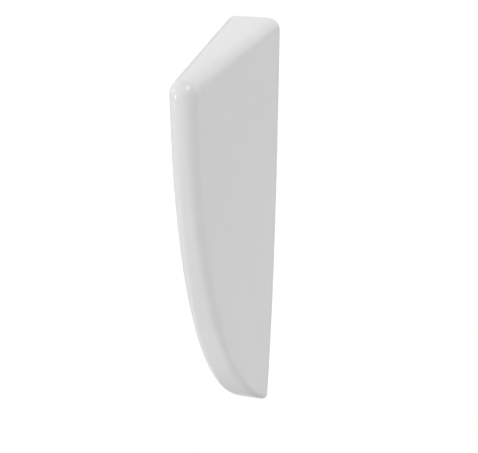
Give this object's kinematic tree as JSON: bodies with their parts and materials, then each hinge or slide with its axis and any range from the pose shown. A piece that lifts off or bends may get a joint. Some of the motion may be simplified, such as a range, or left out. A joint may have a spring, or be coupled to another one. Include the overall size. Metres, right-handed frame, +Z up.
{
  "type": "urinal privacy screen",
  "caption": "Wall-hung privacy screen in white glazed china, flat-topped and curving back to a point at its foot, on hidden steel hangers with a lock screw under a push-in cap.",
  "frame": {"origin": "on the wall plane, midway between the two screw holes of the upper hanger", "axes": "+X across the screen's thickness, -Y out of the wall into the room, +Z up; the screen's back lies on Y = 0"},
  "size_m": [0.085, 0.35, 0.7],
  "materials": {
    "china": "gloss",
    "zinc_steel": "zinc plated, satin",
    "grey_soft_plastic": "matt",
    "white_plastic": "matt",
    "natural_nylon": "satin",
    "black_rubber": "matt",
    "black_acetal": "satin",
    "stainless_steel": "turned, satin",
    "white_gloss_plastic": "gloss"
  },
  "bodies": {
    "screen": {"screen_shell": "china", "upper_hanger": "zinc_steel", "lower_hanger": "zinc_steel", "upper_saddle": "grey_soft_plastic", "lower_saddle": "grey_soft_plastic", "upper_side_pads": "white_plastic", "lower_side_pads": "white_plastic", "lock_bush": "natural_nylon", "bush_washer": "black_rubber", "bush_nut": "natural_nylon"},
    "lock_foot": {"lock_foot": "black_acetal"},
    "lock_screw": {"lock_screw": "stainless_steel"},
    "cover_cap": {"cover_cap": "white_gloss_plastic", "cap_ring": "black_rubber"}
  },
  "joints": [
    {"name": "lock_foot_slide", "type": "slide", "parent": "screen", "child": "lock_foot", "axis": [0, 0, -1], "range_m": [0, 0.0161]},
    {"name": "lock_screw_turn", "type": "hinge", "parent": "lock_foot", "child": "lock_screw", "pos_m": [0, -0.018, -0.55], "axis": [0, 0, -1], "range_deg": [0, 4600]},
    {"name": "cover_cap_pull", "type": "slide", "parent": "screen", "child": "cover_cap", "axis": [0, 0, -1], "range_m": [0, 0.04]}
  ],
  "couplings": [
    {"joint": "lock_foot_slide", "follows": "lock_screw_turn", "m_per_rad": 0.00019894}
  ]
}
